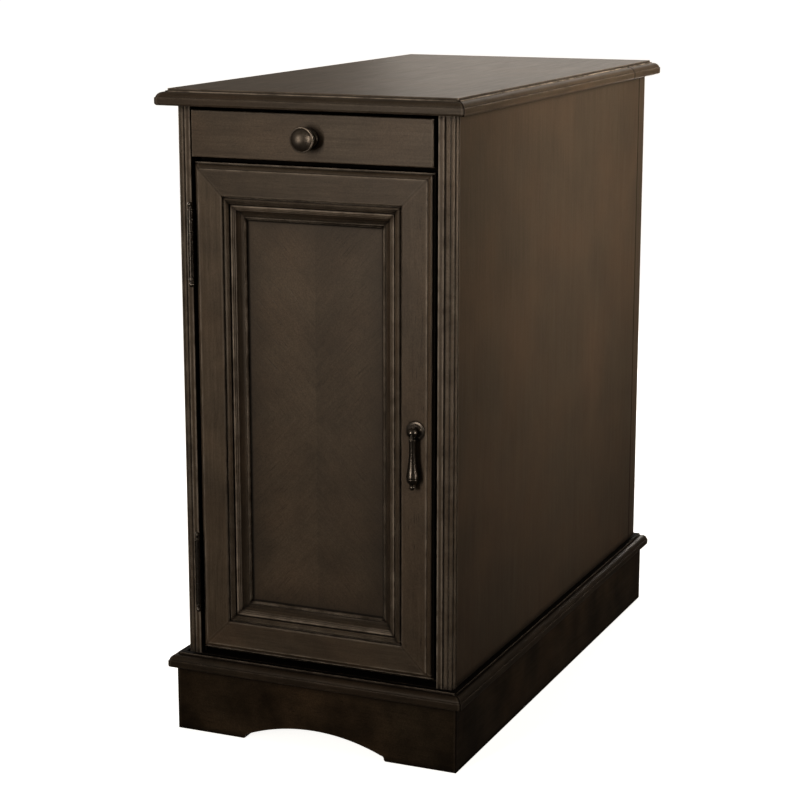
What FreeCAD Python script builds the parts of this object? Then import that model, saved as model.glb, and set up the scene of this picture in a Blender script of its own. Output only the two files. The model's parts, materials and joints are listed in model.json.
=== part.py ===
import FreeCAD, Part
import math
import os

# A narrow chairside cabinet: one drawer over one door, a moulded top, reeded corner posts, an arched plinth.
# Millimetres: x to the right, y from the front face of the corner posts to the back, z up from the floor.
# export() moves every piece so that the origin is the middle of the footprint on the floor.

# Overall form
overall_height = 610.0
carcass_width = 274.0
carcass_depth = 550.0

# Top: a veneered field inside a moulded edge
top_thickness = 15.0
top_overhang = 13.0
field_overhang = 4.0
field_step = 2.0
return_length = 92.0

# Edges that the top and base mouldings share
moulding_round = 2.4
moulding_foot = 7.4
moulding_fillet = 0.8
moulding_shoulder = 1.0
moulding_flat = 1.6

# Corner posts, rear stiles and side panels
post_width = 16.0
column_radius = 9.5
reed_count = 3
reed_depth = 1.3
quirk_width = 0.9
tongue_width = 5.0
tongue_length = 5.0
rear_stile_depth = 20.0
back_thickness = 5.0
back_lap = 6.0

# Base
plinth_height = 62.0
plinth_thickness = 16.0
plinth_overhang = 6.5
arch_height = 18.5
arch_half_width = 71.5
arch_cusp_round = 2.5
base_height = 14.5
base_overhang = 13.0
base_lip_overhang = 5.7
base_lip_height = 2.3
block_leg = 36.0
block_foot_gap = 4.0

# Rails, shelf and runners inside the case
panel_thickness = 15.0
rail_thickness = 12.0
rail_depth = 45.0
rear_rail_height = 18.0
cleat_width = 18.0
runner_width = 20.0
guide_thickness = 3.0
guide_height = 14.0
runner_rear_gap = 20.0
shelf_thickness = 14.0
shelf_height = 305.0
shelf_side_gap = 1.0
shelf_front = 25.0
shelf_rear_gap = 5.0
shelf_pin_radius = 2.5
shelf_pin_reach = 8.0
shelf_pin_inset = 35.0

# Drawer
front_gap = 3.5
side_gap = 3.2
face_proud = 4.0
drawer_front_height = 42.0
drawer_front_thickness = 18.0
drawer_front_round = 1.2
drawer_side_thickness = 10.0
drawer_side_height = 27.5
drawer_box_length = 400.0
drawer_box_lift = 3.8
drawer_head_clearance = 1.5
drawer_back_thickness = 10.0
drawer_back_dado = 3.0
drawer_bottom_thickness = 4.0
drawer_bottom_groove = 4.0
drawer_bottom_lift = 4.5
dovetail_length = 10.0
dovetail_neck = 9.0
dovetail_tip = 13.0
slide_clearance = 0.5
stop_thickness = 6.0
stop_width = 24.0
stop_drop = 9.0
stop_rise = 14.0

# Door
drawer_door_gap = 5.0
door_floor_gap = 7.2
door_thickness = 20.0
door_stop_gap = 1.0
edge_fillet = 1.7
edge_bead_width = 3.8
edge_bead_depth = 5.0
edge_quirk = 1.0
frame_arris_round = 1.5
frame_face_end = 30.0
frame_width = 38.0
frame_rebate = 7.0
panel_recess = 10.0
door_panel_thickness = 6.0
door_panel_groove = 6.0
door_panel_float = 0.5

# Inner moulding of the door, from the frame's face in to the panel
inner_moulding_width = 20.3
inner_quirk = 1.0
inner_quirk_depth = 2.6
bead_width = 5.2
bead_rise = 1.5
bead_edge_depth = 1.3
groove_width = 1.2
groove_depth = 3.4
fillet_count = 3
fillet_width = 1.5
fillet_depth = 2.0
fillet_drop = 0.8
tail_bead_width = 2.4
tail_bead_height = 2.4
tail_bead_crown = 0.8

# Butt hinges
hinge_height = 62.5
hinge_inset = 75.0
hinge_gap = 0.25
barrel_radius = 2.5
barrel_proud = 2.0
pin_radius = 1.25
pin_clearance = 0.05
leaf_thickness = 1.2
post_leaf_reach = 12.0
door_leaf_reach = 13.0
leaf_clearance = 0.4
finial_height = 8.0
finial_collar_radius = 2.2
finial_collar = 1.8
finial_collar_round = 0.3
finial_neck = 1.6
finial_seat = 1.0
hinge_screw_spacing = 22.0
hinge_screw_radius = 1.3
hinge_screw_head = 2.5
hinge_screw_length = 12.0
post_screw_y = 5.0
door_screw_y = 8.0

# Knob
knob_projection = 24.0
knob_radius = 11.6
knob_rim = 15.0
knob_rim_width = 2.2
knob_rim_round = 0.5
knob_ring_width = 0.9
knob_ring_groove = 0.4
knob_cup_depth = 5.0
knob_flange_radius = 8.8
knob_flange_thickness = 2.6
knob_flange_round = 0.6
knob_neck_radius = 5.2
knob_neck_cove = 1.8
knob_screw_radius = 2.0
knob_screw_depth = 12.0
knob_screw_head = 4.0
knob_screw_head_height = 2.4

# Drop pull
pull_inset = 15.7
pull_rise = 1.85
rosette_radius = 8.6
rosette_thickness = 2.2
rosette_edge = 1.0
rosette_round = 0.5
rosette_dish = 0.2
rosette_boss_radius = 5.7
rosette_boss_foot = 1.2
rosette_boss_round = 0.25
ball_radius = 4.7
ball_reach = 8.0
pull_neck_radius = 2.4
pull_shank_radius = 2.0
pull_nut_radius = 4.0
pull_nut_height = 3.0
cross_pin_radius = 0.8
cross_pin_clearance = 0.05
cross_pin_inset = 0.3
drop_eye_radius = 2.1
drop_eye_clearance = 0.3
drop_tongue_thickness = 2.2
drop_tongue_clearance = 0.15
drop_swing = 60.0
drop_length = 52.5
drop_radius = 5.4
drop_neck_radius = 2.9
drop_taper_sag = 1.0
drop_collar_gap = 0.9
drop_collar_radius = 3.0
drop_collar_height = 1.6
drop_collar_round = 0.4
drop_shoulder_height = 13.0
drop_ring_count = 2
drop_ring_height = 1.9
drop_ring_depth = 0.5
drop_tail_swell = 0.6
drop_waist_height = 4.8
drop_waist_radius = 1.7

# Catch and fasteners
catch_width = 40.0
catch_height = 14.0
catch_depth = 26.0
catch_gap = 0.6
catch_centre = 75.0
strike_width = 30.0
strike_height = 12.0
strike_thickness = 1.0
screw_radius = 1.6
screw_head = 3.4
screw_head_depth = 1.8
top_screw_bite = 8.0
top_screw_inset = 36.0
back_screw_length = 16.0
back_screw_edge = 3.0
back_screw_count = 3
back_screw_end = 105.0
catch_screw_length = 9.0
catch_screw_spacing = 24.0

# How far a cutting shape runs past the piece that it cuts, and the smallest distance that counts
spare = 1.0
touch = 0.001

# Lines of the case that follow from those sizes
half_width = carcass_width / 2
opening_half = half_width - post_width
ledge = plinth_height + base_height
top_underside = overall_height - top_thickness
back_front = carcass_depth - back_thickness
side_rear = carcass_depth - rear_stile_depth

# Lines of the drawer and door
face_half = opening_half - side_gap
face_y = -face_proud
drawer_top = top_underside - front_gap
drawer_low = drawer_top - drawer_front_height
drawer_front_back = face_y + drawer_front_thickness
door_top = drawer_low - drawer_door_gap
door_low = ledge + door_floor_gap
door_back = face_y + door_thickness
rail_front = door_back + door_stop_gap
rail_rear = rail_front + rail_depth
rear_rail = back_front - rail_depth
box_half = opening_half - guide_thickness - slide_clearance
box_low = drawer_low + drawer_box_lift
box_high = box_low + drawer_side_height
box_rear = drawer_front_back + drawer_box_length
rail_top = box_low - slide_clearance
rail_low = rail_top - rail_thickness
top_rail_low = box_high + drawer_head_clearance
barrel_x = -(opening_half + face_half) / 2
barrel_y = face_y - barrel_proud
pull_x = face_half - pull_inset
pull_z = (door_low + door_top) / 2 + pull_rise
ball_y = face_y - ball_reach
catch_front = door_back + strike_thickness + catch_gap


def vector(x, y, z):
    return FreeCAD.Vector(x, y, z)


def block(x0, x1, y0, y1, z0, z1):
    """A rectangular board between two corners."""
    return Part.makeBox(x1 - x0, y1 - y0, z1 - z0, vector(x0, y0, z0))


def mirrored(shape):
    """The same piece for the other side of the case."""
    return shape.mirror(vector(0, 0, 0), vector(1, 0, 0))


def both_sides(shape):
    """A piece and its mirror image as one group of two solids."""
    return Part.makeCompound([shape, mirrored(shape)])


def bow(start, end, centre):
    """An arc from start to end about centre, as its middle point and its end."""
    a = ((start[0] + end[0]) / 2 - centre[0], (start[1] + end[1]) / 2 - centre[1])
    reach = math.hypot(start[0] - centre[0], start[1] - centre[1])
    scale = reach / math.hypot(*a)
    return ((centre[0] + a[0] * scale, centre[1] + a[1] * scale), end)


def quarter(start, end, centre):
    """A quarter of an oval from start to end about centre, as its middle point and its end."""
    slant = math.sqrt(0.5)
    middle = tuple(c + slant * ((a - c) + (b - c)) for a, b, c in zip(start, end, centre))
    return (middle, end)


def bulge(start, end, rise):
    """An arc from start to end that rises this far from its chord, to the left of the way along it."""
    along = (end[0] - start[0], end[1] - start[1])
    share = rise / math.hypot(*along)
    middle = ((start[0] + end[0]) / 2 - along[1] * share, (start[1] + end[1]) / 2 + along[0] * share)
    return (middle, end)


def crosses(circle, axis):
    """Whether a full circle crosses the turning axis away from its own centre."""
    base, along = axis
    off_axis = circle.Center.distanceToLine(base, along)
    return touch < off_axis < circle.Radius + touch


def section(path, place, axis=None):
    """A flat face inside a closed path. A step is a corner, or an arc as its middle and end.

    An arc that would turn to a shape that meets itself on the axis is drawn as a spline instead.
    """
    edges = []
    here = path[0]
    for step in path[1:] + [path[0]]:
        if isinstance(step[0], tuple):
            middle, there = step
            arc = Part.Arc(place(*here), place(*middle), place(*there))
            edge = arc.toShape()
            edges.append(arc.toBSpline().toShape() if axis and crosses(edge.Curve, axis) else edge)
        else:
            there = step
            edges.append(Part.LineSegment(place(*here), place(*there)).toShape())
        here = there
    return Part.Face(Part.Wire(edges))


def dome(start, tip):
    """A round end from start to the tip on the turning axis, as its middle point and its end."""
    s, r = start
    centre = (tip * tip - s * s - r * r) / (2 * (tip - s))
    half = math.atan2(r, s - centre) / 2
    radius = tip - centre
    return ((centre + radius * math.cos(half), radius * math.sin(half)), (tip, 0))


def turned(path, base, axis, out):
    """A turned solid. The path gives (distance along axis from base, radius)."""
    profile = section(path, lambda s, r: base + axis * s + out * r, axis=(base, axis))
    return profile.revolve(base, axis, 360)


def mitred_length(start, end, normal, profile):
    """A moulding from start to end with mitred ends. The profile gives (distance in, height along normal)."""
    along = (end - start).normalize()
    inward = normal.cross(along)
    corners = [step[-1] if isinstance(step[0], tuple) else step for step in profile]
    width = max(corner[0] for corner in corners)
    low = min(corner[1] for corner in corners) - width
    high = max(corner[1] for corner in corners) + width
    face = section(profile, lambda d, h: start + inward * d + normal * h)
    bar = face.extrude(end - start)
    inner_start = start + (along + inward) * width
    inner_end = end + (inward - along) * width
    window = [point + normal * low for point in (start, end, inner_end, inner_start)]
    prism = Part.Face(Part.makePolygon(window + window[:1])).extrude(normal * (high - low))
    return bar.common(prism)


def mitred_frame(corners, normal, profile):
    """Four mitred lengths round a rectangle whose corners run anticlockwise seen against normal."""
    ends = corners[1:] + corners[:1]
    return [mitred_length(start, end, normal, profile) for start, end in zip(corners, ends)]


def plan_rectangle(overhang, z):
    """Corners of the case in plan with an overhang all round, starting at the front left."""
    x = half_width + overhang
    front = -overhang
    rear = carcass_depth + overhang
    return [vector(-x, front, z), vector(x, front, z), vector(x, rear, z), vector(-x, rear, z)]


def screw(point, axis, length):
    """A countersunk wood screw whose head is flush at point and whose shank runs along axis."""
    head = Part.makeCone(screw_head, screw_radius, screw_head_depth, point, axis)
    return head.fuse(Part.makeCylinder(screw_radius, length, point, axis))


def lower_edge(shoulder):
    """The outer steps of a moulding's section: a rounded band, a fillet and an ovolo to the shoulder."""
    band_top = moulding_foot - moulding_fillet
    foot = (moulding_fillet, moulding_foot)
    return [
        (moulding_round, 0),
        bow((moulding_round, 0), (0, moulding_round), (moulding_round, moulding_round)),
        (0, band_top),
        bow((0, band_top), foot, (moulding_fillet, band_top)),
        quarter(foot, shoulder, (shoulder[0], foot[1])),
    ]


def make_top():
    """The veneered field, and the edge moulding with a short butted return at the rear of each side."""
    field_x = half_width + field_overhang
    field_y = carcass_depth + field_overhang
    field = block(-field_x, field_x, -field_overhang, field_y, top_underside, overall_height)
    width = top_overhang - field_overhang
    crown = top_thickness - field_step
    shoulder = (width - moulding_flat, crown - moulding_shoulder)
    profile = [(width, 0)] + lower_edge(shoulder) + [(shoulder[0], crown), (width, crown)]
    corners = plan_rectangle(top_overhang, top_underside)
    front, right, rear, left = mitred_frame(corners, vector(0, 0, 1), profile)
    seam = carcass_depth + top_overhang - return_length
    reach = half_width + top_overhang + spare
    ahead = block(-reach, reach, -reach, seam, 0, overall_height)
    behind = block(-reach, reach, seam, carcass_depth + reach, 0, overall_height)
    return {
        "top_field_panel": field,
        "top_moulding_front": front,
        "top_moulding_right": right.common(ahead),
        "top_moulding_left": left.common(ahead),
        "top_moulding_rear": rear,
        "top_moulding_returns": Part.makeCompound([right.common(behind), left.common(behind)]),
    }


def make_base():
    """Base moulding on the mitred plinth, the front board arched, with glued corner blocks inside."""
    lip_in = base_overhang - base_lip_overhang
    shoulder_height = base_height - base_lip_height
    shoulder = (lip_in - moulding_shoulder, shoulder_height)
    lip = [(lip_in, shoulder_height), (lip_in, base_height), (base_overhang, base_height)]
    profile = [(base_overhang, 0)] + lower_edge(shoulder) + lip
    up = vector(0, 0, 1)
    names = ["front", "right", "rear", "left"]
    mouldings = mitred_frame(plan_rectangle(base_overhang, plinth_height), up, profile)
    board = [(0, 0), (plinth_thickness, 0), (plinth_thickness, plinth_height), (0, plinth_height)]
    boards = mitred_frame(plan_rectangle(plinth_overhang, 0), up, board)
    boards[0] = boards[0].cut(plinth_arch())
    pieces = {"base_moulding_" + name: piece for name, piece in zip(names, mouldings)}
    pieces.update({"plinth_" + name: piece for name, piece in zip(names, boards)})
    pieces["plinth_corner_blocks"] = corner_blocks()
    return pieces


def plinth_arch():
    """The cut under the front board: a shallow arch that meets each foot in a small ogee cusp."""
    turn = arch_cusp_round
    foot = arch_half_width + turn
    spring = arch_half_width - turn
    path = [
        (-foot, -spare),
        (foot, -spare),
        (foot, 0),
        bow((foot, 0), (arch_half_width, turn), (foot, turn)),
        bow((arch_half_width, turn), (spring, 2 * turn), (spring, turn)),
        ((0, arch_height), (-spring, 2 * turn)),
        bow((-spring, 2 * turn), (-arch_half_width, turn), (-spring, turn)),
        bow((-arch_half_width, turn), (-foot, 0), (-foot, turn)),
    ]
    front = -plinth_overhang - spare
    face = section(path, lambda x, z: vector(x, front, z))
    return face.extrude(vector(0, plinth_thickness + 2 * spare, 0))


def corner_blocks():
    """Four three-sided blocks that hold the plinth's corners and the case above it."""
    inside = plinth_thickness - plinth_overhang
    x = half_width - inside
    front = inside
    rear = carcass_depth - inside
    blocks = []
    for side in (-1, 1):
        for y, turn in ((front, 1), (rear, -1)):
            corner = vector(side * x, y, block_foot_gap)
            along = vector(-side * block_leg, 0, 0)
            across = vector(0, turn * block_leg, 0)
            outline = Part.makePolygon([corner, corner + along, corner + across, corner])
            rise = vector(0, 0, plinth_height - block_foot_gap)
            blocks.append(Part.Face(outline).extrude(rise))
    return Part.makeCompound(blocks)


def corner_post():
    """The right front post: a flat, a quirk and a quarter column of reeds, grooved for the side panel."""
    centre = (half_width - column_radius, column_radius)
    valley = column_radius - reed_depth

    def on_column(turn, radius):
        angle = math.radians(-90 + turn)
        return (centre[0] + radius * math.cos(angle), centre[1] + radius * math.sin(angle))

    flat_end = centre[0] - quirk_width
    path = [(opening_half, 0), (flat_end, 0), (flat_end, reed_depth), on_column(0, valley)]
    for reed in range(reed_count):
        middle = on_column(90.0 * (reed + 0.5) / reed_count, column_radius)
        path.append((middle, on_column(90.0 * (reed + 1) / reed_count, valley)))
    path.append((opening_half, column_radius))
    face = section(path, lambda x, y: vector(x, y, plinth_height))
    post = face.extrude(vector(0, 0, top_underside - plinth_height))
    return post.cut(side_tongue(column_radius - tongue_length, column_radius))


def side_tongue(y0, y1):
    """The tongue along one edge of the right side panel."""
    middle = half_width - post_width / 2
    low = middle - tongue_width / 2
    return block(low, low + tongue_width, y0, y1, plinth_height, top_underside)


def shelf_pin_places():
    """Height and depths of the four shelf pins."""
    z = shelf_height - shelf_pin_radius
    rear = back_front - shelf_rear_gap
    return z, (shelf_front + shelf_pin_inset, rear - shelf_pin_inset)


def side_panel():
    """The right side panel, tongued into the post and the stile and bored for the shelf pins."""
    panel = block(opening_half, half_width, column_radius, side_rear, plinth_height, top_underside)
    panel = panel.fuse(side_tongue(column_radius - tongue_length, column_radius))
    panel = panel.fuse(side_tongue(side_rear, side_rear + tongue_length)).removeSplitter()
    z, depths = shelf_pin_places()
    for y in depths:
        start = vector(opening_half, y, z)
        panel = panel.cut(Part.makeCylinder(shelf_pin_radius, shelf_pin_reach, start, vector(1, 0, 0)))
    return panel


def rear_stile():
    """The right rear stile, grooved for the side panel and rebated for the back."""
    stile = block(opening_half, half_width, side_rear, carcass_depth, plinth_height, top_underside)
    stile = stile.cut(side_tongue(side_rear, side_rear + tongue_length))
    lap = opening_half + back_lap
    return stile.cut(block(opening_half, lap, back_front, carcass_depth, plinth_height, top_underside))


def make_case():
    """Posts, stiles, panels and the rails, runners and shelf between them."""
    side = opening_half
    lap = side + back_lap
    runner_rear = back_front - runner_rear_gap
    runner = block(side - runner_width, side, rail_rear, runner_rear, rail_low, rail_top)
    guide = block(side - guide_thickness, side, rail_front, runner_rear, rail_top, rail_top + guide_height)
    runner = runner.fuse(guide).removeSplitter()
    cleat = block(side - cleat_width, side, rail_depth, rear_rail, plinth_height, ledge)
    shelf_x = side - shelf_side_gap
    shelf_rear = back_front - shelf_rear_gap
    shelf_top = shelf_height + shelf_thickness
    rear_rail_low = top_underside - rear_rail_height
    z, depths = shelf_pin_places()
    pins = []
    for x, way in ((side + shelf_pin_reach, -1), (-side - shelf_pin_reach, 1)):
        for y in depths:
            start = vector(x, y, z)
            pins.append(Part.makeCylinder(shelf_pin_radius, 2 * shelf_pin_reach, start, vector(way, 0, 0)))
    return {
        "side_panel_right": side_panel(),
        "side_panel_left": mirrored(side_panel()),
        "corner_post_right": corner_post(),
        "corner_post_left": mirrored(corner_post()),
        "rear_stile_right": rear_stile(),
        "rear_stile_left": mirrored(rear_stile()),
        "back_panel": block(-lap, lap, back_front, carcass_depth, plinth_height, top_underside),
        "bottom_panel": block(-side, side, rail_front, back_front, ledge, ledge + panel_thickness),
        "bottom_rail_front": block(-side, side, 0, rail_depth, plinth_height, ledge),
        "bottom_rail_rear": block(-side, side, rear_rail, back_front, plinth_height, ledge),
        "bottom_cleats": both_sides(cleat),
        "top_rail_front": block(-side, side, rail_front, rail_rear, top_rail_low, top_underside),
        "top_rail_rear": block(-side, side, rear_rail, back_front, rear_rail_low, top_underside),
        "drawer_rail": block(-side, side, rail_front, rail_rear, rail_low, rail_top),
        "drawer_runners": both_sides(runner),
        "shelf": block(-shelf_x, shelf_x, shelf_front, shelf_rear, shelf_height, shelf_top),
        "shelf_pins": Part.makeCompound(pins),
    }


def dovetail():
    """The tail on the front end of the right drawer side."""
    middle = (box_low + box_high) / 2
    tip = drawer_front_back - dovetail_length
    path = [
        (drawer_front_back, middle - dovetail_neck / 2),
        (drawer_front_back, middle + dovetail_neck / 2),
        (tip, middle + dovetail_tip / 2),
        (tip, middle - dovetail_tip / 2),
    ]
    face = section(path, lambda y, z: vector(box_half - drawer_side_thickness, y, z))
    return face.extrude(vector(drawer_side_thickness, 0, 0))


def make_drawer():
    """The drawer box, its front with two half-blind dovetails, the knob and the stop under the back."""
    inner = box_half - drawer_side_thickness
    bottom_low = box_low + drawer_bottom_lift
    bottom_high = bottom_low + drawer_bottom_thickness
    groove_x = inner + drawer_bottom_groove
    front_groove = drawer_front_back - drawer_bottom_groove
    back_y = box_rear - drawer_back_thickness
    bottom = block(-groove_x, groove_x, drawer_front_back, box_rear, bottom_low, bottom_high)
    bottom = bottom.fuse(block(-inner, inner, front_groove, drawer_front_back, bottom_low, bottom_high))
    bottom = bottom.removeSplitter()
    dado_x = inner + drawer_back_dado
    back = block(-dado_x, dado_x, back_y, box_rear, bottom_high, box_high)
    side = block(inner, box_half, drawer_front_back, box_rear, box_low, box_high).fuse(dovetail())
    side = side.removeSplitter().cut(bottom).cut(back)
    front = block(-face_half, face_half, face_y, drawer_front_back, drawer_low, drawer_top)
    front = front.makeFillet(drawer_front_round, face_edges(front, face_y))
    front = front.cut(both_sides(dovetail())).cut(bottom)
    knob, knob_screw = make_knob()
    front = front.cut(knob_screw)
    stop_x = stop_width / 2
    stop_y = box_rear + stop_thickness
    stop_low = rail_top - stop_drop
    return {
        "drawer_front": front,
        "drawer_side_right": side,
        "drawer_side_left": mirrored(side),
        "drawer_back": back,
        "drawer_bottom": bottom,
        "drawer_stop": block(-stop_x, stop_x, box_rear, stop_y, stop_low, bottom_high + stop_rise),
        "drawer_knob": knob,
        "knob_screw": knob_screw,
    }


def face_edges(shape, y):
    """The edges of a board that lie in the plane at y."""
    return [e for e in shape.Edges if all(abs(v.Y - y) < touch for v in e.Vertexes)]


def make_knob():
    """The turned knob and the machine screw that holds it from inside the drawer."""
    base = vector(0, face_y, (drawer_low + drawer_top) / 2)
    outward = vector(0, -1, 0)
    up = vector(0, 0, 1)
    flange = knob_flange_radius - knob_flange_round
    cove = (knob_flange_thickness, knob_neck_radius + knob_neck_cove)
    neck_start = (knob_flange_thickness + knob_neck_cove, knob_neck_radius)
    neck_end = (knob_rim - knob_cup_depth, knob_neck_radius)
    rim_low = (knob_rim - knob_rim_width / 2, knob_radius - knob_rim_round)
    rim_high = (knob_rim + knob_rim_width / 2, knob_radius - knob_rim_round)
    ring = (rim_high[0] + knob_ring_groove / 2, rim_high[1] - knob_ring_width)
    dome_foot = (ring[0] - knob_ring_groove, ring[1] - knob_ring_groove)
    path = [
        (0, 0),
        (0, flange),
        bulge((0, flange), (knob_flange_thickness, flange), knob_flange_round),
        cove,
        quarter(cove, neck_start, (neck_start[0], cove[1])),
        neck_end,
        quarter(neck_end, rim_low, (neck_end[0], rim_low[1])),
        bulge(rim_low, rim_high, knob_rim_round),
        ring,
        dome_foot,
        dome(dome_foot, knob_projection),
    ]
    knob = turned(path, base, outward, up)
    inside = vector(0, drawer_front_back, base.z)
    length = drawer_front_thickness + knob_screw_depth
    shank = Part.makeCylinder(knob_screw_radius, length, inside, outward)
    head = Part.makeCylinder(knob_screw_head, knob_screw_head_height, inside, vector(0, 1, 0))
    knob_screw = head.fuse(shank)
    return knob.cut(shank), knob_screw


def door_corners():
    """The door's outer corners at its back face, anticlockwise seen from the front, lower left first."""
    return [
        vector(-face_half, door_back, door_low),
        vector(face_half, door_back, door_low),
        vector(face_half, door_back, door_top),
        vector(-face_half, door_back, door_top),
    ]


def frame_profile():
    """Section of a door rail or stile: beaded outer edge, face, rebate for the moulding, panel groove."""
    face = door_thickness
    bead_end = edge_fillet + edge_bead_width
    bead_low = face - edge_quirk - edge_bead_depth
    arris_in = frame_face_end - frame_arris_round
    arris_low = face - frame_arris_round
    panel_front = door_thickness - panel_recess
    panel_back = panel_front - door_panel_thickness
    groove = frame_width - door_panel_groove
    return [
        (0, 0),
        (0, bead_low),
        (edge_fillet, bead_low),
        quarter((edge_fillet, bead_low), (bead_end, face - edge_quirk), (bead_end, bead_low)),
        (bead_end, face),
        (arris_in, face),
        bow((arris_in, face), (frame_face_end, arris_low), (arris_in, arris_low)),
        (frame_face_end, face - frame_rebate),
        (frame_width, face - frame_rebate),
        (frame_width, panel_front),
        (groove, panel_front),
        (groove, panel_back),
        (frame_width, panel_back),
        (frame_width, 0),
    ]


def inner_profile():
    """Section of the door's inner moulding: quirk, bead, groove, fillets, cove and a bead at the panel."""
    face = door_thickness
    panel_front = face - panel_recess
    start = frame_face_end
    end = start + inner_moulding_width
    bead_start = start + inner_quirk
    bead_end = bead_start + bead_width
    bead_edge = face - bead_edge_depth
    groove_end = bead_end + groove_width
    tail_start = end - tail_bead_width
    tail_low = panel_front + tail_bead_height
    path = [
        (start, face - frame_rebate),
        (start, face - inner_quirk_depth),
        (bead_start, face - inner_quirk_depth),
        (bead_start, bead_edge),
        (((bead_start + bead_end) / 2, bead_edge + bead_rise), (bead_end, bead_edge)),
        (bead_end, face - groove_depth),
        (groove_end, face - groove_depth),
    ]
    for step in range(fillet_count):
        level = face - fillet_depth - step * fillet_drop
        path += [(groove_end + step * fillet_width, level), (groove_end + (step + 1) * fillet_width, level)]
    cove_start = path[-1]
    return path + [
        quarter(cove_start, (tail_start, tail_low), (tail_start, cove_start[1])),
        (((tail_start + end) / 2, tail_low + tail_bead_crown), (end, tail_low)),
        (end, panel_front),
        (frame_width, panel_front),
        (frame_width, face - frame_rebate),
    ]


def make_door():
    """The mitred frame, its inner mouldings and the veneered panel."""
    toward_viewer = vector(0, -1, 0)
    low, right, high, left = mitred_frame(door_corners(), toward_viewer, frame_profile())
    inner = mitred_frame(door_corners(), toward_viewer, inner_profile())
    margin = frame_width - door_panel_groove + door_panel_float
    panel_y = face_y + panel_recess
    panel_x = face_half - margin
    panel_back = panel_y + door_panel_thickness
    panel = block(-panel_x, panel_x, panel_y, panel_back, door_low + margin, door_top - margin)
    pieces = {
        "door_rail_bottom": low,
        "door_stile_right": right,
        "door_rail_top": high,
        "door_stile_left": left,
        "door_panel": panel,
    }
    pieces["door_mouldings_long"] = Part.makeCompound([inner[1], inner[3]])
    pieces["door_mouldings_short"] = Part.makeCompound([inner[0], inner[2]])
    return pieces


def hinge_places():
    """Lowest z of the upper and lower hinge."""
    return [door_top - hinge_inset - hinge_height / 2, door_low + hinge_inset - hinge_height / 2]


def hinge_screws(z0, x, y, way):
    """Three countersunk screws through a leaf whose outer face is at x, driven to the side that way gives."""
    screws = []
    for step in (-1, 0, 1):
        point = vector(x, y, z0 + hinge_height / 2 + step * hinge_screw_spacing)
        axis = vector(way, 0, 0)
        head = Part.makeCone(hinge_screw_head, hinge_screw_radius, leaf_thickness, point, axis)
        screws.append(head.fuse(Part.makeCylinder(hinge_screw_radius, hinge_screw_length, point, axis)))
    return screws


def knuckle(z0, z1):
    """One solid knuckle of a hinge barrel, before its bore."""
    return Part.makeCylinder(barrel_radius, z1 - z0, vector(barrel_x, barrel_y, z0))


def knuckle_room(z0, z1):
    """The room that a leaf leaves round the other leaf's knuckle."""
    radius = barrel_radius + leaf_clearance
    centre = vector(barrel_x, barrel_y, z0 - hinge_gap)
    return Part.makeCylinder(radius, z1 - z0 + 2 * hinge_gap, centre)


def hinge_pin(z0):
    """The pin, with a turned collar and ball at each end of the barrel."""
    neck_high = (finial_collar + finial_neck, pin_radius)
    path = [
        (-finial_seat, 0),
        (-finial_seat, pin_radius),
        (0, pin_radius),
        (0, finial_collar_radius),
        bulge((0, finial_collar_radius), (finial_collar, finial_collar_radius), finial_collar_round),
        (finial_collar, pin_radius),
        neck_high,
        dome(neck_high, finial_height),
    ]
    up = vector(0, 0, 1)
    out = vector(1, 0, 0)
    top = turned(path, vector(barrel_x, barrel_y, z0 + hinge_height), up, out)
    bottom = turned(path, vector(barrel_x, barrel_y, z0), up * -1, out)
    shank = Part.makeCylinder(pin_radius, hinge_height, vector(barrel_x, barrel_y, z0))
    return shank.fuse([top, bottom]).removeSplitter()


def make_hinges():
    """Two butt hinges with three knuckles each, and the screws of both leaves."""
    post_x = -opening_half
    door_x = -face_half
    post_leaves, door_leaves, pins, post_screws, door_screws = [], [], [], [], []
    for z0 in hinge_places():
        z3 = z0 + hinge_height
        z1 = z0 + hinge_height / 3
        z2 = z0 + hinge_height * 2 / 3
        bore = Part.makeCylinder(pin_radius + pin_clearance, hinge_height, vector(barrel_x, barrel_y, z0))
        low, middle, high = knuckle(z0, z1 - hinge_gap), knuckle(z1, z2), knuckle(z2 + hinge_gap, z3)
        post_plate = block(post_x, post_x + leaf_thickness, barrel_y, post_leaf_reach, z0, z3)
        post_plate = post_plate.cut(knuckle_room(z1, z2))
        door_plate = block(door_x - leaf_thickness, door_x, barrel_y, door_leaf_reach, z0, z3)
        door_plate = door_plate.cut(knuckle_room(z0 - barrel_radius, z1 - hinge_gap))
        door_plate = door_plate.cut(knuckle_room(z2 + hinge_gap, z3 + barrel_radius))
        ahead = block(post_x, door_x, barrel_y - spare, barrel_y + barrel_radius, z0, z1)
        door_plate = door_plate.cut([ahead, ahead.translated(vector(0, 0, z2 - z0))])
        ahead = block(post_x, door_x, barrel_y - spare, barrel_y + barrel_radius, z1, z2)
        post_plate = post_plate.cut(ahead)
        into_post = hinge_screws(z0, post_x + leaf_thickness, post_screw_y, -1)
        into_door = hinge_screws(z0, door_x - leaf_thickness, door_screw_y, 1)
        post_leaves.append(post_plate.fuse([low, high]).cut([bore] + into_post))
        door_leaves.append(door_plate.fuse(middle).cut([bore] + into_door))
        pins.append(hinge_pin(z0))
        post_screws += into_post
        door_screws += into_door
    return {
        "hinge_post_leaves": Part.makeCompound(post_leaves),
        "hinge_door_leaves": Part.makeCompound(door_leaves),
        "hinge_pins": Part.makeCompound(pins),
        "hinge_post_screws": Part.makeCompound(post_screws),
        "hinge_door_screws": Part.makeCompound(door_screws),
    }


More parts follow.
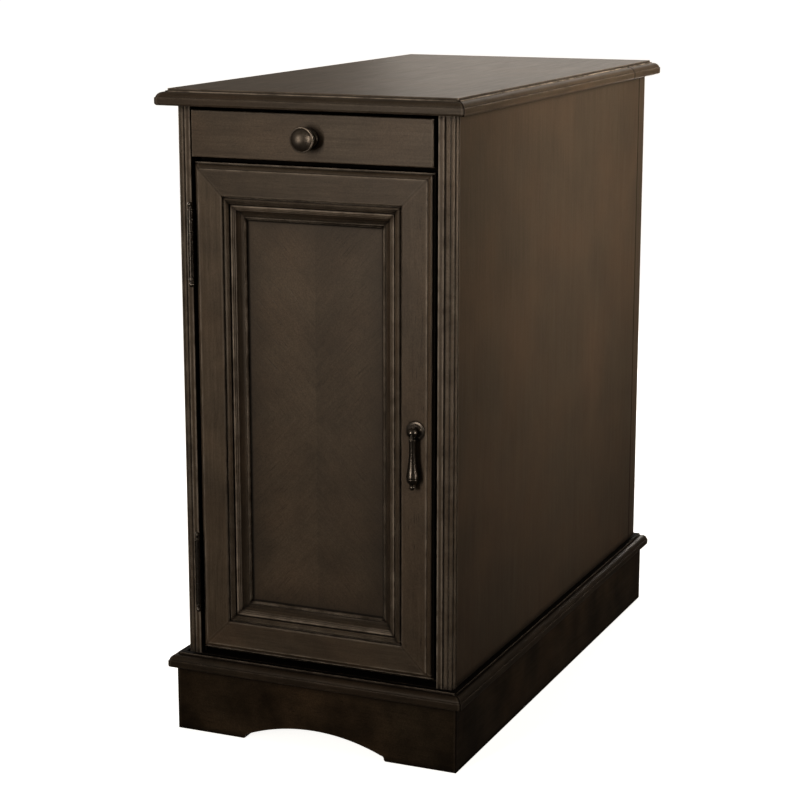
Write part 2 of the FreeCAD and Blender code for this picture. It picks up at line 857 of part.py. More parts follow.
def drop_slot():
    """The slot in the ball: open downward and forward as far as the drop swings."""
    room = drop_eye_radius + drop_eye_clearance
    width = drop_tongue_thickness + 2 * drop_tongue_clearance
    swing = math.radians(drop_swing)
    reach = 3 * ball_radius
    forward = (-math.sin(swing), -math.cos(swing))
    upper = (-math.cos(swing) * room, math.sin(swing) * room)
    path = [
        (room, -reach),
        (room, room),
        (upper[0], room),
        upper,
        (upper[0] + forward[0] * reach, upper[1] + forward[1] * reach),
    ]
    left = pull_x - width / 2
    face = section(path, lambda y, z: vector(left, ball_y + y, pull_z + z))
    return face.extrude(vector(width, 0, 0))


def drop_shape():
    """The drop: a tongue on the cross pin, a collar and a turned pear with two rings and a finial."""
    centre = vector(pull_x, ball_y, pull_z)
    side = vector(1, 0, 0)
    collar = (ball_radius + drop_eye_clearance + drop_collar_gap, drop_collar_radius)
    neck = (collar[0] + drop_collar_height, drop_neck_radius)
    shoulder = (drop_length - drop_shoulder_height, drop_radius)
    path = [
        (collar[0], 0),
        collar,
        bulge(collar, (neck[0], drop_collar_radius), drop_collar_round),
        neck,
        bulge(neck, shoulder, -drop_taper_sag),
    ]
    ring = (shoulder[0], drop_radius - drop_ring_depth)
    path.append(ring)
    for count in range(drop_ring_count):
        next_ring = (ring[0] + drop_ring_height, ring[1])
        path.append(bulge(ring, next_ring, drop_ring_depth))
        ring = next_ring
    waist = (drop_length - drop_waist_height, drop_waist_radius)
    path += [bulge(ring, waist, drop_tail_swell), dome(waist, drop_length)]
    body = turned(path, centre, vector(0, 0, -1), side)
    left = pull_x - drop_tongue_thickness / 2
    start = vector(left, ball_y, pull_z)
    eye = Part.makeCylinder(drop_eye_radius, drop_tongue_thickness, start, side)
    right = left + drop_tongue_thickness
    low = pull_z - collar[0] - drop_collar_gap
    strap = block(left, right, ball_y - drop_eye_radius, ball_y + drop_eye_radius, low, pull_z)
    hole_radius = cross_pin_radius + cross_pin_clearance
    hole = Part.makeCylinder(hole_radius, 2 * ball_radius, centre - side * ball_radius, side)
    return body.fuse([eye, strap]).removeSplitter().cut(hole)


def make_pull():
    """The rosette, the ball-headed post through the stile, its nut, the cross pin and the drop."""
    outward = vector(0, -1, 0)
    up = vector(0, 0, 1)
    seat = vector(pull_x, face_y, pull_z)
    edge = rosette_radius - rosette_round
    boss_foot = (rosette_boss_foot, rosette_boss_radius)
    boss_top = (rosette_thickness, rosette_boss_radius - rosette_boss_round)
    path = [
        (0, 0),
        (0, edge),
        bulge((0, edge), (rosette_edge, edge), rosette_round),
        bulge((rosette_edge, edge), boss_foot, rosette_dish),
        bulge(boss_foot, boss_top, rosette_boss_round),
        (rosette_thickness, 0),
    ]
    back = vector(pull_x, door_back, pull_z)
    nut_face = vector(pull_x, door_back + pull_nut_height, pull_z)
    shank_length = door_thickness + pull_nut_height
    shank = Part.makeCylinder(pull_shank_radius, shank_length, nut_face, outward)
    neck = Part.makeCylinder(pull_neck_radius, ball_reach, seat, outward)
    centre = vector(pull_x, ball_y, pull_z)
    ball = Part.makeSphere(ball_radius, centre)
    side = vector(1, 0, 0)
    half_pin = ball_radius - cross_pin_inset
    cross_pin = Part.makeCylinder(cross_pin_radius, 2 * half_pin, centre - side * half_pin, side)
    post = neck.fuse([ball, shank]).removeSplitter().cut([drop_slot(), cross_pin])
    rosette = turned(path, seat, outward, up).cut(neck)
    nut = Part.makeCylinder(pull_nut_radius, pull_nut_height, back, outward * -1).cut(shank)
    return {
        "pull_rosette": rosette,
        "pull_post": post,
        "pull_nut": nut,
        "pull_cross_pin": cross_pin,
        "pull_drop": drop_shape(),
    }


def catch_screws():
    """Two screws up through the catch into the drawer rail."""
    y = catch_front + catch_depth / 2
    screws = []
    for side in (-1, 1):
        point = vector(catch_centre + side * catch_screw_spacing / 2, y, rail_low - catch_height)
        screws.append(screw(point, vector(0, 0, 1), catch_height + catch_screw_length))
    return screws


def make_catch():
    """The magnetic catch under the drawer rail and the strike plate on the door."""
    left = catch_centre - catch_width / 2
    rear = catch_front + catch_depth
    catch = block(left, left + catch_width, catch_front, rear, rail_low - catch_height, rail_low)
    middle = rail_low - catch_height / 2
    x = catch_centre - strike_width / 2
    z = middle - strike_height / 2
    strike = block(x, x + strike_width, door_back, door_back + strike_thickness, z, z + strike_height)
    return {"door_catch": catch.cut(catch_screws()), "strike_plate": strike}


def top_screws():
    """Screws up through the top rails into the field panel."""
    up = vector(0, 0, 1)
    screws = []
    rear_low = top_underside - rear_rail_height
    half_rail = rail_depth / 2
    for y, z in ((rail_front + half_rail, top_rail_low), (rear_rail + half_rail, rear_low)):
        for side in (-1, 1):
            point = vector(side * (opening_half - top_screw_inset), y, z)
            screws.append(screw(point, up, top_underside - z + top_screw_bite))
    return screws


def back_screws():
    """Screws through the back into the stiles and the rear rails."""
    inward = vector(0, -1, 0)
    x = opening_half + back_screw_edge
    rail_z = top_underside - rear_rail_height / 2
    lowest = plinth_height + back_screw_end
    pitch = (top_underside - back_screw_end - lowest) / (back_screw_count - 1)
    screws = []
    for side in (-1, 1):
        for step in range(back_screw_count):
            point = vector(side * x, carcass_depth, lowest + step * pitch)
            screws.append(screw(point, inward, back_screw_length))
    for z in (rail_z, plinth_height + base_height / 2):
        screws.append(screw(vector(0, carcass_depth, z), inward, back_screw_length))
    return screws


def drill(pieces, names, tools):
    """Cuts the seats of screws or posts in the wood that they pass through."""
    for name in names:
        pieces[name] = pieces[name].cut(tools)


def build():
    """Every piece by its node name, in the case's own frame."""
    pieces = {}
    for make in (make_top, make_case, make_base, make_drawer, make_door, make_hinges, make_pull, make_catch):
        pieces.update(make())
    case_screws = catch_screws() + top_screws() + back_screws()
    pieces["case_screws"] = Part.makeCompound(case_screws)
    drill(pieces, ["corner_post_left", "side_panel_left"], pieces["hinge_post_screws"])
    drill(pieces, ["door_stile_left"], pieces["hinge_door_screws"])
    drill(pieces, ["door_stile_right"], pieces["pull_post"])
    rails = ["drawer_rail", "top_rail_front", "top_rail_rear", "bottom_rail_rear"]
    panels = ["top_field_panel", "back_panel", "rear_stile_left", "rear_stile_right"]
    drill(pieces, rails + panels, case_screws)
    return pieces


def export(pieces):
    """One STEP file per node, moved so that the origin is the middle of the footprint on the floor."""
    front_reach = face_y - knob_projection
    rear_reach = carcass_depth + max(top_overhang, base_overhang)
    shift = vector(0, -(front_reach + rear_reach) / 2, 0)
    os.makedirs("parts", exist_ok=True)
    for name, shape in pieces.items():
        shape.translated(shift).exportStep("parts/" + name + ".step")


export(build())
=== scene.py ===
import bmesh
import bpy
import json
import math
import random
from mathutils import Matrix, Vector

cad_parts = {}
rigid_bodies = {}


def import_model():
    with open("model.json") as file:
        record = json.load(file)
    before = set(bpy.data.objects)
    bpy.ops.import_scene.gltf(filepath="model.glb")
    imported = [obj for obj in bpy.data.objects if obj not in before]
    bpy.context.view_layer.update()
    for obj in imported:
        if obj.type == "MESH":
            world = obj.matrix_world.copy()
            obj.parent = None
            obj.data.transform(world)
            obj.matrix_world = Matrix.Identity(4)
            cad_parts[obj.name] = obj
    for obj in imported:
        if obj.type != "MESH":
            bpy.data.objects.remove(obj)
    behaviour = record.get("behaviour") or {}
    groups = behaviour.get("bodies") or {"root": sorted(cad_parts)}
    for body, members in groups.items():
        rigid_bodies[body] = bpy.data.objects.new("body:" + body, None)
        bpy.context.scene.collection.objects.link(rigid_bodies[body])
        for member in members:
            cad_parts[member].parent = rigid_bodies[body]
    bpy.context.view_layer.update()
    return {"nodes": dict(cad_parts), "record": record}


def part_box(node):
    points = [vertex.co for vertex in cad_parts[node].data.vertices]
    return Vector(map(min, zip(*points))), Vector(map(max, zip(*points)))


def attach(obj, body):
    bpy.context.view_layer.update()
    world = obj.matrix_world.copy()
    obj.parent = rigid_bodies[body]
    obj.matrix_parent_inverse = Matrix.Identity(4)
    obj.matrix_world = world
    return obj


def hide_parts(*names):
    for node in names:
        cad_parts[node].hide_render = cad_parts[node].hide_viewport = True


# The looks of a narrow chairside cabinet: stained wood with a darker glaze, painted shade in its grooves and
# gaps and painted highlights on its arrises, dark bronze fittings, a studio and a camera. Every length is in
# metres, and pieces get their places from the imported frame.

for default in list(bpy.data.objects):
    bpy.data.objects.remove(default)
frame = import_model()
NODES = frame["nodes"]
MILLIMETRE = 0.001
X, Y, Z = 0, 1, 2

# Softened arrises: their width, how many facets round one off, and the shortest edge and the least bend that
# make an arris
ARRIS = 0.3 * MILLIMETRE
ARRIS_SEGMENTS = 2
SHORTEST_ARRIS = 6 * MILLIMETRE
LEAST_BEND = math.radians(40)

# Clean-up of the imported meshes: points this close are one, and a join this flat is no edge
SAME_POINT = 0.002 * MILLIMETRE
FLAT_JOIN = math.radians(0.3)

# Shading of a softened piece: from what bend an edge stays sharp, and how much large faces steer the normals
CREASE = math.radians(32)
FLAT_FACE_WEIGHT = 100

# Faces to be darkened: how far off a plane one may lie, and how squarely it faces along the plane's axis
TOUCH = 0.02 * MILLIMETRE
SQUARE_ON = 0.9

# How far behind the door's face the step around it lies
DOOR_STEP = 6.0 * MILLIMETRE

# Patterns in the wood: features to the metre, octaves, and how strong the finer ones are
WANDER = {"scale": 9.0, "detail": 1.0}
STREAKS = {"scale": 420.0, "detail": 4.0, "roughness": 0.62}
BANDS = {"scale": 75.0, "detail": 3.0, "roughness": 0.6}
PORES = {"scale": 1500.0, "detail": 2.0}
BLOTCHES = {"scale": 10.0, "detail": 3.0, "roughness": 0.55}
SPECKLES = {"scale": 900.0, "detail": 2.0}
CLOUDS = {"scale": 22.0, "detail": 3.0, "roughness": 0.6}
WORN_PATCHES = {"scale": 60.0, "detail": 3.0, "roughness": 0.6}

# How far the grain wanders, and to what share distances along the grain are shortened for each pattern
WANDER_REACH = 12 * MILLIMETRE
STREAK_SHARE = 0.035
BAND_SHARE = 0.07
PORE_SHARE = 0.03

# Where between 0 and 1 each pattern starts and ends its effect, and how strong that effect is. A span that
# runs downwards picks out the low end of a pattern.
NOISE_SPAN = (0.3, 0.7)
FIGURE_SPAN = (0.32, 0.68)
STREAKS_IN_FIGURE = 0.72
WARM_SPAN = (0.42, 0.68)
WARM_STRENGTH = 0.6
PORE_SPAN = (0.38, 0.24)
PORE_STRENGTH = 0.7
SPECKLE_TONES = (0.74, 1.26)
CLOUD_SPAN = (0.32, 0.68)

# Grooves that hold glaze and painted shade: how far off a wall counts, how open to the sky a full groove and
# a clean face are, and how much more open a full groove may be for each step of wear and painted light
WIDE_GROOVE = {"reach": 7 * MILLIMETRE, "closed": 0.42, "clear": 0.92, "more": 0.15}
NARROW_GROOVE = {"reach": 3.2 * MILLIMETRE, "closed": 0.55, "clear": 0.96, "more": 0.25}
DEEPEST_GLAZE_AND_SHADE = 0.98

# Rubbed arrises with a painted highlight on them: how far in from one the finish is rubbed and lit, what
# share of the space behind a place is wood where this is full and where it starts, how much larger the second
# share is for each step of wear and painted light, how it is broken up into patches, and how bright it is
RUB_AND_HIGHLIGHT_REACH = 2.3 * MILLIMETRE
RUB_AND_HIGHLIGHT_FULL = 0.52
RUB_AND_HIGHLIGHT_START = 0.80
RUB_AND_HIGHLIGHT_MORE = 0.12
WORN_SPAN = (0.35, 0.62)
LEAST_WORN = 0.25
RUB_AND_HIGHLIGHT_STRENGTH = 0.6

# Joints: how far from one its glaze starts to fade and ends, and how far from one the rubbing and its painted
# highlight start and are full. The butt joints are more open than the mitres, so distances from them are
# shortened to OPEN_JOINT.
SEAM_FADE = (0.5 * MILLIMETRE, 1.1 * MILLIMETRE)
RUBBING_AND_HIGHLIGHT_RETURNS = (1.2 * MILLIMETRE, 3.5 * MILLIMETRE)
OPEN_JOINT = 0.6

# Roughness and relief of the stained finish
CLEAN_ROUGHNESS = (0.46, 0.38)
GLAZE_ROUGHNESS = 0.9
STREAK_RELIEF = 0.5
RELIEF = {"depth": 0.12 * MILLIMETRE, "strength": 0.35}

# The door panel's veneer: the slant of its leaves, the painted sheen that makes its left half lighter and its
# right half darker, and half the width of the step between them
LEAF_SLANT = math.radians(-43)
LEAF_SHEEN_TONES = (1.08, 0.92)
LEAF_STEP = 0.6 * MILLIMETRE

# Glaze and painted shade around the front of the panel: how much of the panel the frame laps, how wide and
# deep its edge is dulled by glaze and painted shade, how wide and deep the black line of painted shade in the
# corner against the frame is, and how far ahead of the middle of the panel's thickness it is full
PANEL_LAP = 18 * MILLIMETRE
PANEL_SHADE = 26 * MILLIMETRE
PANEL_SHADE_DEPTH = 0.45
PANEL_SHADE_LINE = 2.4 * MILLIMETRE
PANEL_SHADE_LINE_DEPTH = 0.97
PANEL_FRONT = 1.0 * MILLIMETRE

# Dark stain on edges, also used as painted shade on the faces that the gaps show
EDGE_STREAKS = {"scale": 300.0, "detail": 3.0}
EDGE_ROUGHNESS = 0.8
EDGE_SHEEN = 0.04

# Sealed wood: its figure, its pores, and the painted shade in its inside corners
BARE_STREAKS_IN_FIGURE = 0.5
BARE_PORE_SPAN = (0.36, 0.24)
BARE_PORE_STRENGTH = 0.6
BARE_CORNER_SHADE = {"reach": 8 * MILLIMETRE, "closed": 0.3, "clear": 0.9}
BARE_CORNER_SHADE_DEPTH = 0.5
BARE_ROUGHNESS = 0.55

# Metal: its mottle, how far in from an edge and how brightly it is rubbed, and how uneven its gloss is
METAL_MOTTLE = {"scale": 260.0, "detail": 4.0, "roughness": 0.6}
MOTTLE_SPAN = (0.35, 0.65)
METAL_EDGE = {"reach": 1.2 * MILLIMETRE, "full": 0.35, "start": 0.75}
METAL_RUB_STRENGTH = 0.3
UNEVEN_GLOSS = 0.06

# Plastic
PLASTIC_SKIN = {"scale": 2500.0, "detail": 2.0}
PLASTIC_ROUGHNESS = (0.5, 0.42)

# Colours, linear
# The dark of the stain, also the colour of painted shade in bare corners
DARK_STAIN_AND_SHADE = (0.037, 0.0255, 0.0155)
STAIN_LIGHT = (0.076, 0.055, 0.036)
STAIN_WARM = (0.078, 0.0485, 0.0285)
GLAZE_AND_SHADE = (0.003, 0.002, 0.0013)
# Dark stain on edges, also painted shade in the gaps
EDGE_STAIN_AND_GAP_SHADE = (0.005, 0.0036, 0.0026)
# Rubbed wood and the painted highlight on arrises
RUBBED_AND_HIGHLIT = (0.38, 0.31, 0.24)
SHEEN_TINT = (1.0, 0.88, 0.76)
BARE_DARK = (0.30, 0.20, 0.11)
BARE_LIGHT = (0.52, 0.38, 0.23)
BRONZE = (0.060, 0.050, 0.041)
KNOB_BRONZE = (0.105, 0.085, 0.066)
BRONZE_RUBBED = (0.33, 0.28, 0.23)
STEEL = (0.26, 0.25, 0.235)
PLASTIC = (0.055, 0.035, 0.025)
FLOOR = (0.83, 0.82, 0.80)

# The floor: its width, how rough it is, how it is clouded, and how much it glows
FLOOR_WIDTH = 60.0
FLOOR_ROUGHNESS = 0.7
FLOOR_CLOUDS = {"scale": 3.0, "detail": 3.0}
FLOOR_TONES = (0.97, 1.0)
FLOOR_GLOW = 1.12

# Light of the studio's sky at the horizon, overhead and as the camera sees it, and how far up a look has to
# point for the first and for the second
SKY_LOW = (0.034, 0.031, 0.028)
SKY_HIGH = (0.20, 0.18, 0.155)
SKY_SEEN = (1.0, 1.0, 1.0)
SKY_SPAN = (-0.05, 0.6)

# Soft boxes: where each stands and what it faces, its width and height, its watts and the width of its beam
LAMPLIGHT = (1.0, 0.922, 0.835)
LIGHTS = {
    "key": {"place": (-0.36, -2.10, 0.96), "target": (0.02, -0.27, 0.74),
            "size": (0.20, 1.40), "power": 3.2, "beam": math.radians(66)},
    "side": {"place": (2.00, 0.00, 1.00), "target": (0.14, 0.11, 0.75),
             "size": (0.60, 0.90), "power": 3.7, "beam": math.radians(30)},
    "rear": {"place": (-0.48, 2.4, 1.2), "target": (0.0, 0.0, 0.6),
             "size": (1.2, 1.4), "power": 4.1, "beam": math.radians(150)},
    "back": {"place": (-0.20, 2.2, 0.32), "target": (0.0, 0.27, 0.32),
             "size": (0.6, 0.4), "power": 3.0, "beam": math.radians(80)},
    "left": {"place": (-1.80, 1.10, 0.80), "target": (-0.14, 0.05, 0.35),
             "size": (0.6, 1.2), "power": 5.5, "beam": math.radians(80)},
}

# Camera, as far from the table as the photographer stood
CAMERA_PLACE = (0.8116, -1.9477, 0.7540)
CAMERA_YAW = math.radians(23.38)
CAMERA_PITCH = math.radians(12.69)
FOCAL_PIXELS = 2113.8
FRAME_PIXELS = 800

# Wooden pieces by finish and by the way that their grain runs
STAINED = {
    "x": ["bottom_panel", "bottom_rail_front", "drawer_rail", "shelf", "drawer_front"],
    "y": ["top_field_panel"],
    "z": ["back_panel"],
}
REEDED = {"z": ["corner_post_right", "corner_post_left"]}
SIDES = {"z": ["rear_stile_right", "rear_stile_left", "side_panel_right", "side_panel_left"]}
TOP_EDGE = {
    "x": ["top_moulding_front", "top_moulding_rear"],
    "y": ["top_moulding_right", "top_moulding_left", "top_moulding_returns"],
}
BASE_EDGE = {
    "x": ["base_moulding_front", "base_moulding_rear"],
    "y": ["base_moulding_right", "base_moulding_left"],
}
PLINTH = {"x": ["plinth_front", "plinth_rear"], "y": ["plinth_right", "plinth_left"]}
MITRED_IN_DOOR = {
    "x": ["door_rail_bottom", "door_rail_top", "door_mouldings_short"],
    "z": ["door_stile_right", "door_stile_left", "door_mouldings_long"],
}
BARE = {
    "x": ["bottom_rail_rear", "top_rail_front", "top_rail_rear", "drawer_back", "drawer_bottom",
          "drawer_stop"],
    "y": ["bottom_cleats", "drawer_runners", "drawer_side_right", "drawer_side_left"],
    "z": ["plinth_corner_blocks"],
}

# Pieces behind the gaps, whose front and top faces are painted dark as shade
SHADED_BEHIND_GAPS = ["bottom_panel", "bottom_rail_front", "drawer_rail", "top_rail_front"]

# Pieces whose tone differs from the rest, by the start of their names, some of them with painted light or
# shade
TONES_AND_PAINTED_LIGHT = {
    # Darker stain on the plinth and the base moulding, with painted shade where less light falls near the
    # floor
    "plinth": 0.42,
    "base_moulding": 0.4,
    # Painted shade on the front of the top moulding
    "top_moulding_front": 0.6,
    # Painted reflection that lightens the top
    "top_field_panel": 1.3,
    "corner_post": 0.84,
    # Painted shade on the door's inner mouldings
    "door_mouldings": 0.86,
    "door_rail_top": 0.78,
    "door_stile_left": 1.15,
}

# What differs from board to board: how far its figure is shifted at most, and its tone
BOARD_SEED = 11
SHIFT_REACH = 3
TONE_SPREAD = (0.93, 1.07)

# Metal pieces by finish
BRONZES = ["hinge_post_leaves", "hinge_pins", "hinge_door_leaves", "pull_rosette", "pull_post",
           "pull_cross_pin", "pull_drop"]
STEELS = ["pull_nut", "shelf_pins", "strike_plate", "case_screws", "hinge_post_screws", "hinge_door_screws",
          "knob_screw"]

# Where a Mix node keeps its factor, its two colours and the colour that it gives
MIX_FACTOR, MIX_FIRST, MIX_SECOND, MIX_RESULT = 0, 6, 7, 2


class Shading:
    """The nodes of one material or world, added one call at a time."""

    def __init__(self, name, kind=bpy.data.materials):
        self.owner = kind.new(name)
        self.owner.use_nodes = True
        self.tree = self.owner.node_tree
        self.tree.nodes.clear()

    def add(self, kind, inputs=None, output=0, **settings):
        """A node of this kind, as one of its outputs, or as the list of them where output is None."""
        node = self.tree.nodes.new("ShaderNode" + kind)
        for name, value in settings.items():
            setattr(node, name, value)
        for key, value in (inputs or {}).items():
            if isinstance(value, bpy.types.NodeSocket):
                self.tree.links.new(value, node.inputs[key])
            else:
                node.inputs[key].default_value = value
        if output is None:
            return list(node.outputs)
        return node.outputs[output] if node.outputs else None

    def here(self):
        """Where a point is in its object."""
        return self.add("TexCoord", output="Object")

    def noise(self, place, scale, detail=2.0, roughness=0.5):
        """A cloudy pattern from 0 to 1."""
        inputs = {"Vector": place, "Scale": scale, "Detail": detail, "Roughness": roughness}
        return self.add("TexNoise", inputs)

    def math(self, operation, first, second=0.5):
        """A sum with one or two numbers."""
        return self.add("Math", {0: first, 1: second}, operation=operation)

    def vectors(self, operation, first, second):
        """A sum with two vectors."""
        return self.add("VectorMath", {0: first, 1: second}, operation=operation)

    def spread(self, value, low, high, to_low=0.0, to_high=1.0):
        """The value carried over from low and high to to_low and to_high, and held at both ends."""
        inputs = {"Value": value, "From Min": low, "From Max": high, "To Min": to_low, "To Max": to_high}
        return self.add("MapRange", inputs)

    def mix(self, factor, first, second):
        """The first colour where factor is 0, the second where it is 1."""
        inputs = {MIX_FACTOR: factor, MIX_FIRST: opaque(first), MIX_SECOND: opaque(second)}
        return self.add("Mix", inputs, output=MIX_RESULT, data_type="RGBA")

    def finish(self, shader_inputs, height=None, depth=0.1 * MILLIMETRE, strength=0.5):
        """The material with this surface, in relief where a height is given."""
        inputs = dict(shader_inputs)
        if height is not None:
            relief = {"Height": height, "Distance": depth, "Strength": strength}
            inputs["Normal"] = self.add("Bump", relief)
        surface = self.add("BsdfPrincipled", inputs)
        self.add("OutputMaterial", {"Surface": surface})
        return self.owner


def opaque(colour):
    """A colour with alpha, or the socket as it is."""
    return colour if isinstance(colour, bpy.types.NodeSocket) else (*colour, 1.0)


def board_place(net):
    """Where a point is in its board. Each board has its own shift, so that no two share a figure."""
    shift = net.add("Attribute", output="Vector", attribute_type="OBJECT", attribute_name="shift")
    return net.vectors("ADD", net.here(), shift)


def drawn_out(net, place, axis, share, pattern):
    """A pattern that runs along the grain, because distances along it are shortened to this share."""
    scale = [share if axis == name else 1.0 for name in "xyz"]
    return net.noise(net.vectors("MULTIPLY", place, scale), **pattern)


def grain(net, place, axis):
    """Streaks, bands, pores and blotches of a board whose grain runs along axis, each from 0 to 1."""
    wander = net.noise(place, **WANDER)
    wander = net.add("VectorMath", {0: wander, "Scale": WANDER_REACH}, operation="SCALE")
    bent = net.vectors("ADD", place, wander)
    streaks = drawn_out(net, bent, axis, STREAK_SHARE, STREAKS)
    bands = drawn_out(net, bent, axis, BAND_SHARE, BANDS)
    pores = drawn_out(net, bent, axis, PORE_SHARE, PORES)
    return streaks, bands, pores, net.noise(place, **BLOTCHES)


def blend(net, streaks, bands, share):
    """Streaks and bands as one figure, of which the streaks are this share."""
    return net.math("ADD", net.math("MULTIPLY", streaks, share), net.math("MULTIPLY", bands, 1 - share))


def crevices(net, reach, closed, clear):
    """1 in a groove or corner that is no more open to the sky than closed, 0 on a face as open as clear."""
    open_sky = net.add("AmbientOcclusion", {"Distance": reach}, output="AO", samples=4)
    return net.spread(open_sky, clear, closed)


def arrises(net, reach, full, start):
    """1 at a sharp or tightly rounded outer edge, 0 where the piece fills a share of start or more behind."""
    settings = {"samples": 4, "inside": True, "only_local": True}
    behind = net.add("AmbientOcclusion", {"Distance": reach}, output="AO", **settings)
    return net.spread(behind, start, full)


def stain(net, figure, blotches, filled, contrast):
    """The colour of the stain: dark and light streaks, warmer blotches, and pores filled with glaze."""
    shown = net.spread(figure, *FIGURE_SPAN, 0.5 - contrast / 2, 0.5 + contrast / 2)
    colour = net.mix(shown, DARK_STAIN_AND_SHADE, STAIN_LIGHT)
    colour = net.mix(net.spread(blotches, *WARM_SPAN, 0.0, WARM_STRENGTH), colour, STAIN_WARM)
    return net.mix(filled, colour, GLAZE_AND_SHADE)


def board_tone(net, place, mottle):
    """How light a place is: the tone of its board, painted light or shade on some pieces included, with fine
    speckles and wide clouds over it.
    """
    speckle = net.spread(net.noise(place, **SPECKLES), *NOISE_SPAN, *SPECKLE_TONES)
    cloud = net.spread(net.noise(place, **CLOUDS), *CLOUD_SPAN, 1 - mottle, 1 + mottle)
    own_tone = net.add("Attribute", output="Fac", attribute_type="OBJECT", attribute_name="tone")
    return net.math("MULTIPLY", own_tone, net.math("MULTIPLY", speckle, cloud))


def groove_glaze(net, wear_and_painted_light, reach, closed, clear, more):
    """1 where grooves of one width are full of glaze and painted shade."""
    return crevices(net, reach, closed + more * (wear_and_painted_light - 1), clear)


def left_glaze(net, wear_and_painted_light):
    """How deep the glaze and the painted shade are in grooves and corners."""
    wide = groove_glaze(net, wear_and_painted_light, **WIDE_GROOVE)
    narrow = groove_glaze(net, wear_and_painted_light, **NARROW_GROOVE)
    bare = net.math("SUBTRACT", 1.0, net.math("MAXIMUM", wide, narrow))
    return net.math("SUBTRACT", DEEPEST_GLAZE_AND_SHADE, net.math("MULTIPLY", bare, bare))


def rubbed_and_highlit_arrises(net, place, wear_and_painted_light):
    """How far the finish is rubbed through and lit with a painted highlight, along the arrises and in
    patches.
    """
    patches = net.spread(net.noise(place, **WORN_PATCHES), *WORN_SPAN, LEAST_WORN, 1.0)
    edges = arrises(net, RUB_AND_HIGHLIGHT_REACH, RUB_AND_HIGHLIGHT_FULL, RUB_AND_HIGHLIGHT_START + RUB_AND_HIGHLIGHT_MORE * (wear_and_painted_light - 1))
    return net.math("MULTIPLY", edges, patches)


def stained_finish(net, figures, place, tone=None, dulled_and_shaded=None, joint=None, joint_depth=0.9, contrast=1.0,
                   mottle=0.16, wear_and_painted_light=1.0, sheen=0.36, richness=1.0):
    """Grey-brown stain over the grain, with dark glaze and painted shade in the grooves, and a rubbed look
    with a painted highlight on the arrises.

    tone lightens or darkens a place, and on the door panel paints a sheen on its halves; the dulled mask is
    where more glaze and painted shade are left, and joint is how far a place lies from the nearest joint,
    where the glaze is joint_depth deep. contrast is how plainly the figure shows, mottle how cloudy the stain
    is, the wear setting how deep the glaze and painted shade and how bright the rubbing and painted highlight
    on the arrises are, sheen how glossy the finish is, and richness how strong its colour is.
    """
    streaks, bands, pores, blotches = figures
    figure = blend(net, streaks, bands, STREAKS_IN_FIGURE)
    filled = net.spread(pores, *PORE_SPAN, 0.0, PORE_STRENGTH)
    colour = stain(net, figure, blotches, filled, contrast)
    lightness = board_tone(net, place, mottle)
    if tone is not None:
        lightness = net.math("MULTIPLY", lightness, tone)
    colour = net.add("HueSaturation", {"Color": colour, "Saturation": richness, "Value": lightness})
    glaze = left_glaze(net, wear_and_painted_light)
    # Rubbed wood and painted highlight along the arrises
    rubbed = rubbed_and_highlit_arrises(net, place, wear_and_painted_light)
    if dulled_and_shaded is not None:
        glaze = net.math("MAXIMUM", glaze, dulled_and_shaded)
    if joint is not None:
        glaze = net.math("MAXIMUM", glaze, net.spread(joint, *SEAM_FADE, joint_depth, 0.0))
        rubbed = net.math("MULTIPLY", rubbed, net.spread(joint, *RUBBING_AND_HIGHLIGHT_RETURNS))
    # Glaze and painted shade darken the grooves and corners
    colour = net.mix(glaze, colour, GLAZE_AND_SHADE)
    # Lightens the arrises: rubbed wood with a painted highlight
    colour = net.mix(net.math("MULTIPLY", rubbed, RUB_AND_HIGHLIGHT_STRENGTH * wear_and_painted_light), colour, RUBBED_AND_HIGHLIT)
    clean = net.spread(figure, *NOISE_SPAN, *CLEAN_ROUGHNESS)
    roughness = net.math("MAXIMUM", clean, net.math("MULTIPLY", glaze, GLAZE_ROUGHNESS))
    height = net.math("SUBTRACT", net.math("MULTIPLY", streaks, STREAK_RELIEF), filled)
    shader = {"Base Color": colour, "Roughness": roughness, "Specular IOR Level": sheen,
              "Specular Tint": opaque(SHEEN_TINT)}
    return net.finish(shader, height, **RELIEF)


def board(name, axis):
    """The nodes of a wood whose grain runs along axis, its figures, and where a point is in its board."""
    net = Shading(name + "_" + axis)
    place = board_place(net)
    return net, grain(net, place, axis), place


def off_middle(net, corner, opposite):
    """Where a point is from the middle of the box between two corners, as it is and without its signs."""
    offset = net.vectors("SUBTRACT", net.here(), (corner + opposite) / 2)
    return offset, net.add("VectorMath", {0: offset}, operation="ABSOLUTE")


def off_mitre(net, corner, opposite, along, across):
    """How far a point is from the mitres of a frame that fills the box between two corners."""
    folded = off_middle(net, corner, opposite)[1]
    split = net.add("SeparateXYZ", {0: folded}, output=None)
    half = (opposite - corner) / 2
    gap = net.math("SUBTRACT", split[along], split[across])
    return net.math("ABSOLUTE", net.math("SUBTRACT", gap, half[along] - half[across]))


def off_base_mitre(net):
    """How far a point is from the mitres at the corners of the plinth and of the moulding on it."""
    return off_mitre(net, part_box("plinth_front")[0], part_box("plinth_rear")[1], along=Y, across=X)


def off_seam(net, seam):
    """How far a point is from the open butt joint that lies at seam along y, shortened to OPEN_JOINT."""
    here = net.add("SeparateXYZ", {0: net.here()}, output="Y")
    offset = net.math("ABSOLUTE", net.math("SUBTRACT", here, seam))
    return net.math("MULTIPLY", offset, OPEN_JOINT)


def stained_wood(axis):
    """Solid wood or straight-grained veneer in the cabinet's finish."""
    return stained_finish(*board("stained_wood", axis))


def reeded_wood(axis):
    """The corner posts, with more glaze and painted shade between the reeds, and more wear and painted
    highlight on them.
    """
    return stained_finish(*board("reeded_wood", axis), wear_and_painted_light=2.0)


